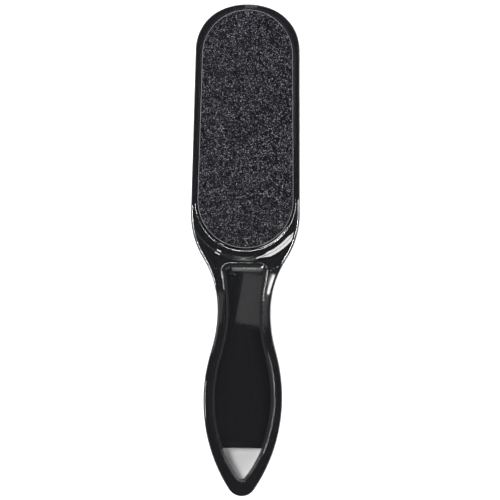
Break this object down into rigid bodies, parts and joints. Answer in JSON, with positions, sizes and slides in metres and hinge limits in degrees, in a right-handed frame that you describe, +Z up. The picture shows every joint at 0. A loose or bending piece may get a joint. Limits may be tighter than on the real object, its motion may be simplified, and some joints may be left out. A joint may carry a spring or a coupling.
{
  "type": "foot file",
  "caption": "Paddle-shaped hand file for feet: a waisted moulded handle with a hang hole and a round-ended abrasive sheet stuck in a shallow seat on each face of its head.",
  "frame": {"origin": "middle of the length and width, on the plane of the handle's rear rim, which is the lowest face", "axes": "+X to the right seen from the front, +Y along the axis towards the top of the head, +Z up out of the front abrasive"},
  "size_m": [0.0556, 0.25, 0.0086],
  "materials": {
    "handle_plastic": "gloss",
    "tape_film": "satin",
    "backing_paper": "matte",
    "mineral_grit": "matte"
  },
  "bodies": {
    "root": {"moulded_handle": "handle_plastic", "front_adhesive": "tape_film", "front_backing": "backing_paper", "front_grit": "mineral_grit", "rear_adhesive": "tape_film", "rear_backing": "backing_paper", "rear_grit": "mineral_grit"}
  },
  "joints": []
}
